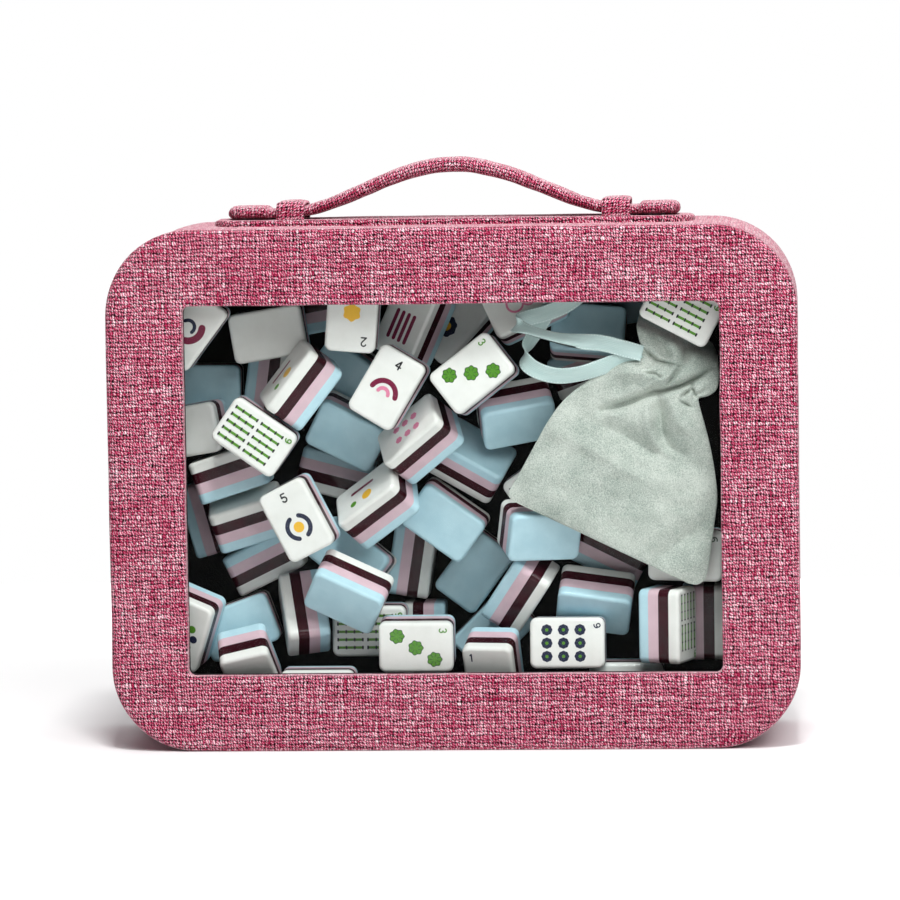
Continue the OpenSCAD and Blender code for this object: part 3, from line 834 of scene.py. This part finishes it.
# Plain figures on a cell 2 wide and 3 high: lists of lines
FIGURES = {
    1: [[(-0.5, 1.0), (0.0, 1.5), (0.0, -1.5)]],
    2: [curve(0, 0.7, 0.8, 160, -40) + [(-0.85, -1.45), (0.9, -1.45)]],
    3: [curve(0, 0.75, 0.75, 150, -80), curve(0, -0.7, 0.82, 80, -150)],
    4: [[(0.45, -1.5), (0.45, 1.5), (-0.9, -0.6), (1.0, -0.6)]],
    5: [[(0.8, 1.5), (-0.55, 1.5), (-0.7, 0.25)] + curve(0, -0.55, 0.9, 125, -150)],
    6: [curve(0.25, 0.1, 1.35, 75, 190, 8), curve(0, -0.65, 0.85, 0, 360, 16)],
    8: [curve(0, 0.75, 0.72, 0, 360, 16), curve(0, -0.72, 0.85, 0, 360, 16)],
    9: [curve(0, 0.6, 0.85, 0, 360, 16), curve(-0.25, -0.1, 1.35, 10, -95, 8)]}


def figure(value, x, y, size, colour, width=0.5):
    """A figure read with the tile's length upright."""
    patches = []
    for line in FIGURES[value]:
        patches += stroke([(x + py * size, y - px * size) for px, py in line], width, colour)
    return patches


def cane(x, y, length, colour):
    """A cane of three stout lengths with dark joints."""
    patches = []
    for n in range(3):
        cx = x + length * (n - 1) / 3
        patches += stroke([(cx - length / 9, y), (cx + length / 9, y)], 1.1, colour)
    for n in range(4):
        cx = x + length * (n - 1.5) / 3
        patches += stroke([(cx, y - 0.45), (cx, y + 0.45)], 0.75, "black")
    return patches


def flower_dot(x, y, radius, colour, rim):
    """A round dot with a lobed edge and lobes drawn on it."""
    patches = disc(x, y, radius, rim, 7, 0.08, 56) + disc(x, y, radius * 0.9, colour, 7, 0.08, 56)
    for n in range(7):
        t = 2 * math.pi * (n + 0.5) / 7
        line = [(x + radius * k * math.cos(t), y + radius * k * math.sin(t)) for k in (0.35, 0.8)]
        patches += stroke(line, 0.26, rim)
    return patches


def painted(kind):
    """Patches of paint on a tile's face, each as (points, colour), later ones on top."""
    patches = []
    if kind == "dots3":
        for k in (-1, 0, 1):
            patches += flower_dot(7.9 * k, -5.0 * k, 3.1, "green", "deep")
        patches += figure(3, 11.6, 7.4, 1.0, "green")
    elif kind == "dots9":
        for a in (-1, 0, 1):
            for b in (-1, 0, 1):
                patches += disc(7.0 * a - 1.6, 5.6 * b, 2.3, "navy", 8, 0.04, 48)
                patches += disc(7.0 * a - 1.6, 5.6 * b, 0.7, "green")
        patches += figure(9, 12.6, 7.4, 0.9, "navy")
    elif kind == "dots_deep":
        for a in (-1, 1):
            for b in (-1, 0, 1):
                patches += disc(4.4 * b + 1.0, 4.2 * a, 1.75, "deep")
        patches += figure(6, 11.8, 7.2, 0.9, "deep")
    elif kind.startswith("canes"):
        sign = -1 if kind.endswith("turned") else 1
        for a in (-1, 1):
            for b in range(5):
                patches += cane(6.4 * a - 1.6 * sign, 3.4 * (b - 2), 10.6, "green")
        part = figure(9, 12.9, 7.2, 0.9, "green")
        patches += [([(sign * x, sign * y) for x, y in points], colour) for points, colour in part]
    elif kind == "arcs":
        patches += stroke(curve(-3, 0, 5.6, -80, 80, 14), 2.2, "burgundy")
        patches += stroke(curve(-3, 0, 2.4, -80, 80, 8), 1.6, "pink")
        patches += figure(4, 10.8, 0, 1.2, "black", 0.65)
    elif kind == "sun":
        patches += disc(-3, 0, 2.3, "yellow")
        for start in (25, 205):
            patches += stroke(curve(-3, 0, 5.0, start, start + 130), 1.9, "navy")
        patches += figure(5, 10.8, 0, 1.2, "black", 0.65)
    elif kind == "small_dots":
        for a in (-1, 0, 1):
            for b in (-1, 1):
                patches += disc(5.0 * a, 3.4 * b, 1.7, "pink", 6, 0.08)
    elif kind == "marks":
        patches += stroke([(-6, 3.5), (5, 3.5)], 1.6, "burgundy")
        patches += disc(1.5, -3, 2.6, "yellow") + disc(-6, -3.5, 1.6, "green")
    elif kind == "one":
        patches += figure(1, 11.0, 6.6, 1.1, "navy", 0.6)
        patches += disc(-2, 0, 4.6, "navy", 8, 0.06) + disc(-2, 0, 2.0, "yellow")
    elif kind == "ring":
        for n in range(8):
            t = math.radians(45 * n)
            patches += disc(6.0 * math.cos(t), 6.0 * math.sin(t), 1.7, "green" if n % 2 else "navy")
        patches += disc(0, 0, 1.9, "navy")
    elif kind == "bars":
        for n in range(4):
            patches += stroke([(-8, 2.9 * (n - 1.5)), (3.6, 2.9 * (n - 1.5))], 1.7, "burgundy")
        patches += figure(4, 9.6, 6.4, 1.1, "burgundy")
    elif kind == "eight":
        patches += figure(8, 0, 0, 4.2, "pink", 0.9)
    elif kind == "two":
        patches += figure(2, 11.0, 5.8, 1.2, "black", 0.6) + disc(-1, 0, 3.6, "yellow", 6, 0.1)
    elif kind == "crescent":
        patches += stroke(curve(1, 0, 6.0, 100, 300, 14), 3.0, "burgundy")
        patches += stroke(curve(1, 0, 2.8, 60, -110, 8), 1.5, "navy")
    return patches


PAINTS = sorted(paint)
TILE_SOFT = 1.5


def tile_outline(inset):
    """Points round a tile seen from its face, inset from its edge."""
    r = max(0.3, TILE_R - inset)
    points = []
    for sx, sy, start in ((1, 1, 0), (-1, 1, 90), (-1, -1, 180), (1, -1, 270)):
        cx, cy = sx * (TILE_L / 2 - TILE_R), sy * (TILE_W / 2 - TILE_R)
        for n in range(7):
            t = math.radians(start + 90 * n / 6)
            points.append((cx + r * math.cos(t), cy + r * math.sin(t)))
    return points


def tile_mesh(name, kind):
    """One tile of four bonded layers, with the paint a hair above its white face."""
    verts, half, count = [], TILE_T / 2, 28
    rings = [(TILE_SOFT + 0.5, -half, 0)]
    rings += [(TILE_SOFT * (1 - math.sin(t)), -half + TILE_SOFT * (1 - math.cos(t)), 0) for t in quarter(5)]
    for layer in range(1, 4):
        z = -half + TILE_T * layer / 4
        rings += [(0.0, z - 0.16, layer - 1), (0.05, z, layer), (0.0, z + 0.16, layer)]
    rings += [(TILE_SOFT * (1 - math.cos(t)), half - TILE_SOFT * (1 - math.sin(t)), 3) for t in quarter(5)]
    rings += [(TILE_SOFT + 0.5, half, 3)]
    for inset, z, _ in rings:
        verts += [(x, y, z) for x, y in tile_outline(inset)]
    faces = grid_faces(len(rings), count) + ends(len(rings), count)
    slots = [layer for _, _, layer in rings[:-1] for _ in range(count)] + [0, 3]
    for level, (points, colour) in enumerate(painted(kind) if kind else []):
        start = len(verts)
        verts += [(x, y, half + 0.02 + 0.003 * level) for x, y in points]
        faces.append(tuple(range(start, start + len(points))))
        slots.append(4 + PAINTS.index(colour))
    materials = [tile_blue, tile_pink, tile_burgundy, tile_white] + [paint[k] for k in PAINTS]
    return link(name, verts, faces, materials, face_slots=slots)


def set_tiles():
    """All the tiles, each in its place."""
    made = []
    for n, (tile, (middle, turn)) in enumerate(zip(TILES, lay_tiles())):
        one = tile_mesh(f"tile_{n + 1:02d}", tile[7])
        one.matrix_world = Matrix.Translation(middle * MM) @ turn.to_4x4()
        soft = one.modifiers.new("even_faces", "WEIGHTED_NORMAL")
        soft.weight = 80
        made.append(one)
    return made


# ---- pouch and ribbon ----

# Cross-sections from the hem to the frill: left edge x, z, right edge x, z, front bulge, back bulge, depth
POUCH = [
    (26.8, 102.7, 98.1, 68.3, 0.7, 1.0, -30), (23.5, 105.2, 102.3, 67.9, 1.6, 3.0, -30),
    (23.1, 107.8, 105.7, 71.3, 2.4, 5.0, -30), (26.8, 114, 107.8, 82.2, 3.2, 8.0, -30),
    (31, 121.6, 109.4, 93.5, 3.4, 10.5, -30), (35.2, 129.1, 110.7, 104, 3.4, 12.0, -30),
    (39.8, 137.1, 109.9, 114.5, 3.4, 12.5, -30), (46.1, 145.5, 108.2, 125, 3.4, 12.5, -30),
    (54.5, 152.6, 106.1, 134.2, 3.4, 12.0, -30), (63.7, 158.5, 104.4, 140.5, 3.4, 10.0, -30),
    (72.1, 162.3, 103.6, 143.8, 3.4, 8.0, -30), (79.2, 163.1, 103.6, 146.3, 2.8, 6.0, -30),
    (79.7, 166.9, 107.8, 147.4, 3.0, 5.0, -29.4), (78.4, 171.9, 111.4, 151, 3.4, 5.0, -28.4),
    (77.6, 177.4, 111.8, 160.2, 3.0, 4.5, -24.5), (79.2, 182, 110.3, 166, 2.5, 4.0, -12.4),
    (82.2, 184.5, 107.3, 169.8, 1.6, 3.0, -11), (85.5, 185.7, 104.8, 171.9, 0.6, 1.2, -11)]
# Folds of the bag: width, depth (minus for a ridge), points x, z
FOLDS = [
    (1.1, 3.0, (83, 148.4), (89.7, 149.7), (96.4, 151.8), (103.6, 155.1), (109.4, 159.3)),
    (1.7, 2.4, (62, 141.7), (73.4, 144.7), (81.8, 148), (88, 151.4)),
    (3.0, 2.4, (86, 149.3), (86.8, 141.7), (87.2, 133.3), (89.7, 126.6), (96.4, 122.4)),
    (5.0, 1.9, (54.5, 138.4), (69.2, 132.5), (79.7, 126.6), (90.1, 120.8), (100.6, 117.4)),
    (4.0, -0.8, (39.8, 135.4), (52.4, 129.1), (65, 121.6), (77.6, 114), (86, 108.2)),
    (2.4, -1.1, (81.8, 145.1), (81.8, 135.4), (84.7, 127), (94.3, 120)),
    (3.4, -1.1, (67.9, 157.7), (77.6, 157.7), (86, 155.1)),
    (0.9, 1.6, (80.1, 167.3), (86, 162.3), (95.6, 159.7)),
    (0.9, 1.8, (95.6, 160.2), (92.7, 155.1), (88.9, 150.9)),
    (0.7, 0.8, (80.9, 157.7), (85.1, 156.8), (88, 155.1)),
    (2.0, 2.0, (98.5, 171), (97.7, 164.8), (96.4, 160.2)),
    (2.2, 1.6, (84.7, 173.2), (88.9, 166.9), (93.1, 161.8)),
    (2.2, -0.9, (91.4, 175.3), (94.3, 166.9)), (2.2, -0.9, (103.6, 166.9), (100.6, 160.6)),
    (0.7, 1.3, (102.3, 146.8), (100.2, 151), (101.5, 154.3)),
    (0.8, 1.3, (96.4, 146.8), (98.1, 148.8), (100.6, 149.7)),
    (0.7, 1.0, (95.6, 145.1), (100.6, 142.6)),
    (3.4, -0.9, (91.4, 146.8), (94.8, 137.5), (100.6, 129.1)),
    (4.0, 1.0, (86, 78.8), (96.4, 86), (106.9, 94.8))]
RIBBON_W, RIBBON_T = 7.0, 0.5
POUCH_NEAREST, RIBBON_NEAREST = -34.3, -34.5
# Route of the ribbon: x, y, z and its tilt in degrees
RIBBON = [
    (80, -31.9, 165.5, 20), (71.5, -32.8, 168, 5), (63, -33.3, 170.2, 0), (54.5, -33.4, 171, 25),
    (46, -33.3, 172.2, 50), (37.7, -33, 174.2, 60), (31.4, -32.2, 176.2, 60), (27.6, -30.6, 177.6, 40),
    (27.6, -28.6, 179, 20), (31.5, -27.2, 180.6, 0), (39, -26.4, 182.4, 0), (47, -25.8, 185.5, 0),
    (54, -25, 190.5, 0), (59, -23.6, 196.5, 0), (60, -22.2, 201.5, 0), (55.5, -21.2, 203, 0),
    (49.5, -22, 198, 0), (43.5, -23.2, 189, 0), (38.2, -24.4, 180, 0), (33.6, -25.8, 172.5, -10),
    (30.6, -27.8, 166.8, -20), (31.6, -30.2, 161.8, -15), (37, -32, 158.4, 0), (45, -32.9, 156.6, 15),
    (54, -32.8, 157.4, 20), (63, -32.2, 160, 10), (71, -31.3, 162.8, 10), (80, -30.2, 164.2, 20)]


def drawn_curve(points, t):
    """A point on a smooth curve through points, t counted in points."""
    k = max(0, min(len(points) - 2, int(t)))
    s = t - k
    p = [points[max(0, min(len(points) - 1, k + d))] for d in (-1, 0, 1, 2)]
    return tuple(b + 0.5 * (c - a) * s + (a - 2.5 * b + 2 * c - 0.5 * d) * s * s
                 + 0.5 * (3 * b - a - 3 * c + d) * s ** 3 for a, b, c, d in zip(*p))


def pressed(x, z):
    """Depth of the folds at a place on the front of the bag; a fold is sharpest at its first third."""
    total = 0.0
    for width, depth, *line in FOLDS:
        near, where, spans = 1e9, 0.0, len(line) - 1
        for k in range(spans):
            (ax, az), (bx, bz) = line[k], line[k + 1]
            dx, dz = bx - ax, bz - az
            share = max(0.0, min(1.0, ((x - ax) * dx + (z - az) * dz) / (dx * dx + dz * dz)))
            gap = math.hypot(x - ax - dx * share, z - az - dz * share)
            if gap < near:
                near, where = gap, (k + share) / spans
        if near < 3.2 * width:
            fade = min(1.0, 0.35 + 2.6 * where, 0.25 + 1.9 * (1 - where))
            total += depth * fade * math.exp(-(near / width) ** 1.5)
    return total


def pouch_mesh():
    """The suede bag, drawn together at its neck, with the folds of its front pressed in."""
    rows, around = 210, 230
    last = len(POUCH) - 1
    verts, uvs = [], []
    for r in range(rows):
        t = last * r / (rows - 1)
        lx, lz, rx, rz, front, back, middle = drawn_curve(POUCH, t)
        gather = math.exp(-((t - 11) / 1.3) ** 2)
        for n in range(around):
            a = 2 * math.pi * n / around
            side, out = math.cos(a), math.sin(a)
            x = (lx + rx) / 2 + (rx - lx) / 2 * side
            z = (lz + rz) / 2 + (rz - lz) / 2 * side
            slack = noise.noise(Vector((x * 0.07, z * 0.07, 3.0 + out))) * 1.2
            slack += noise.noise(Vector((x * 0.21, z * 0.21, 8.0 + out))) * 0.5
            body = min(1.0, 2.2 * abs(out))
            if out > 0:
                rib = math.sin(26 * side) * 0.8 * gather
                y = middle + back * out ** 0.8 - (slack + rib) * body
            else:
                rib = math.sin(31 * side + 1.0) * 0.35 * gather
                y = middle - front * 0.6 * (-out) ** 0.6 + (2.3 * pressed(x, z) + slack + rib + 0.3) * body
            verts.append((x, max(y, POUCH_NEAREST), z))
            uvs.append((x, z))
    faces = grid_faces(rows, around) + ends(rows, around)
    return link("pouch", verts, faces, [mint_suede], uvs)


def ribbon_mesh():
    """The satin ribbon along its route, flat, with its edges upright but for its tilt."""
    steps, around = 260, 18
    drawn = [drawn_curve(RIBBON, (len(RIBBON) - 1) * n / steps) for n in range(steps + 1)]
    path = [Vector(p[:3]) for p in drawn]
    verts, uvs, length = [], [], 0.0
    profile = []
    for n in range(around):
        a = 2 * math.pi * (n + 0.5) / around
        profile.append((math.copysign(abs(math.cos(a)) ** 0.7, math.cos(a)),
                        math.copysign(abs(math.sin(a)) ** 0.5, math.sin(a))))
    for n, p in enumerate(path):
        t = (path[min(n + 1, steps)] - path[max(n - 1, 0)]).normalized()
        upright = (Vector((0, 0, 1)) - t * t.z).normalized()
        tilt = math.radians(drawn[n][3])
        across = upright * math.cos(tilt) + t.cross(upright) * math.sin(tilt)
        through = t.cross(across)
        if n:
            length += (p - path[n - 1]).length
        for wide, thick in profile:
            cup = 0.45 * (wide ** 2 - 0.5) * math.sin(length * 0.09)
            q = p + across * (RIBBON_W / 2 * wide) + through * (RIBBON_T / 2 * thick + cup)
            verts.append((q.x, max(q.y, RIBBON_NEAREST), q.z))
            uvs.append((RIBBON_W / 2 * wide, length))
    faces = grid_faces(steps + 1, around) + ends(steps + 1, around)
    return link("pouch_ribbon_satin", verts, faces, [ribbon_satin], uvs), length


# ---- assembly ----


def dress(node, material):
    """The material on a solid of the CAD."""
    made = nodes[node]
    if not made.data.materials:
        made.data.materials.append(material)
    for k in range(len(made.material_slots)):
        made.material_slots[k].material = material


for name in ("wall_board", "back_board", "lid_board", "lid_spacer"):
    dress(name, fibreboard)
for name in ("body_lining", "lid_lining"):
    dress(name, velvet)
for name in ("top_plate", "handle_rivets"):
    dress(name, steel)
for name in ("magnets_body", "magnets_lid"):
    dress(name, nickel)
dress("window_pane", pane_clear)


def place(made, body, slot, *replaced):
    """A piece on its body, in place of the solids it stands for."""
    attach(made, body)
    if replaced:
        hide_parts(*replaced)
    return made


place(wall_fabric(), ROOT, "tweed", "wall_cover")
place(lid_fabric(), "lid", "tweed", "lid_cover")
place(back_panel(), ROOT, "tweed", "back_cover")
place(patch_pad(), ROOT, "tweed", "base_patch")
for side, end in ((-1, "left"), (1, "right")):
    place(keeper_loop(side), ROOT, "tweed", f"keeper_{end}")
    half = strap_half(side)
    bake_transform(half)
    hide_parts(f"handle_pad_{end}", "handle_grip", "handle_legs")
hinge = hinge_fabric()
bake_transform(hinge)
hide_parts("hinge_tape")

tiles = set_tiles()
for one in tiles:
    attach(one, ROOT)
    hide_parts("tile_faces", "tile_burgundy", "tile_pink", "tile_backs")

pouch = place(pouch_mesh(), ROOT, "pouch", "pouch_bag")
ribbon, ribbon_length = ribbon_mesh()
place(ribbon, ROOT, "ribbon", "pouch_ribbon")

# ---- studio ----

LIT_SPOT = (0, 0, 0.12)
CAMERA_AZIMUTH, CAMERA_ELEVATION, CAMERA_ROLL = 4.0, 4.86, -0.88
CAMERA_TARGET, CAMERA_DISTANCE, CAMERA_LENS = (-0.0036, 0.0, 0.123), 2.2, 206.1


def paper():
    """White paper that fades into the white of the studio behind the case."""
    g = Graph("studio_paper")
    seen = g.node("ShaderNodeLightPath", out="Is Camera Ray")
    behind = g.axes(g.spot(), 1)[0]
    glow = g.mix(behind.smooth(0.26, 0.5) * seen, (0.0, 0.0, 0.0), (1.0, 1.0, 1.0))
    g.set(Base_Color=(0.92, 0.92, 0.92), Roughness=0.9, Specular_IOR_Level=0.0,
          Emission_Color=glow, Emission_Strength=1.0)
    return g.material


def backdrop():
    """A pale floor that ends against the white of the studio."""
    corners = [(-3500, -3000, 0), (3500, -3000, 0), (3500, 600, 0), (-3500, 600, 0)]
    return link("backdrop", corners, [(0, 1, 2, 3)], [paper()])


def lamp(name, place_at, size, watts):
    """A square soft lamp that faces the case."""
    data = bpy.data.lights.new(name, "AREA")
    data.energy, data.size = watts, size
    made = bpy.data.objects.new(name, data)
    made.location = place_at
    made.rotation_euler = (Vector(LIT_SPOT) - Vector(place_at)).to_track_quat("-Z", "Y").to_euler()
    scene.collection.objects.link(made)
    return made


def surroundings():
    """White where the camera looks past the case, and a weak even light on the case."""
    world = bpy.data.worlds.new("studio_air")
    world.use_nodes = True
    tree = world.node_tree
    tree.nodes.clear()
    out = tree.nodes.new("ShaderNodeOutputWorld")
    seen = tree.nodes.new("ShaderNodeBackground")
    seen.inputs["Color"].default_value = (1, 1, 1, 1)
    light = tree.nodes.new("ShaderNodeBackground")
    light.inputs["Color"].default_value = (0.12, 0.12, 0.122, 1)
    both = tree.nodes.new("ShaderNodeMixShader")
    path = tree.nodes.new("ShaderNodeLightPath")
    tree.links.new(path.outputs["Is Camera Ray"], both.inputs[0])
    tree.links.new(light.outputs[0], both.inputs[1])
    tree.links.new(seen.outputs[0], both.inputs[2])
    tree.links.new(both.outputs[0], out.inputs[0])
    scene.world = world


def camera():
    """At the photograph's angle: a long lens, a little above and to the right."""
    azimuth, elevation = math.radians(CAMERA_AZIMUTH), math.radians(CAMERA_ELEVATION)
    roll = math.radians(CAMERA_ROLL)
    level = Vector((math.sin(azimuth), -math.cos(azimuth), 0.0))
    away = level * math.cos(elevation) + Vector((0, 0, math.sin(elevation)))
    right = (-away).cross(Vector((0, 0, 1))).normalized()
    tilted = right * math.cos(roll) + right.cross(-away) * math.sin(roll)
    turn = Matrix((tilted, away.cross(tilted), away)).transposed()
    data = bpy.data.cameras.new("camera")
    data.lens, data.sensor_width, data.clip_end = CAMERA_LENS, 36.0, 50.0
    made = bpy.data.objects.new("camera", data)
    at = Vector(CAMERA_TARGET) + away * CAMERA_DISTANCE
    made.matrix_world = Matrix.Translation(at) @ turn.to_4x4()
    scene.collection.objects.link(made)
    scene.camera = made


backdrop()
surroundings()
camera()
lamp("key_lamp", (0.8, -1.6, 1.4), 1.3, 25)
lamp("high_lamp", (0.12, -1.0, 2.05), 0.35, 31)
lamp("top_lamp", (0.3, 0.6, 2.2), 2.4, 32)
scene.view_settings.view_transform = "Standard"
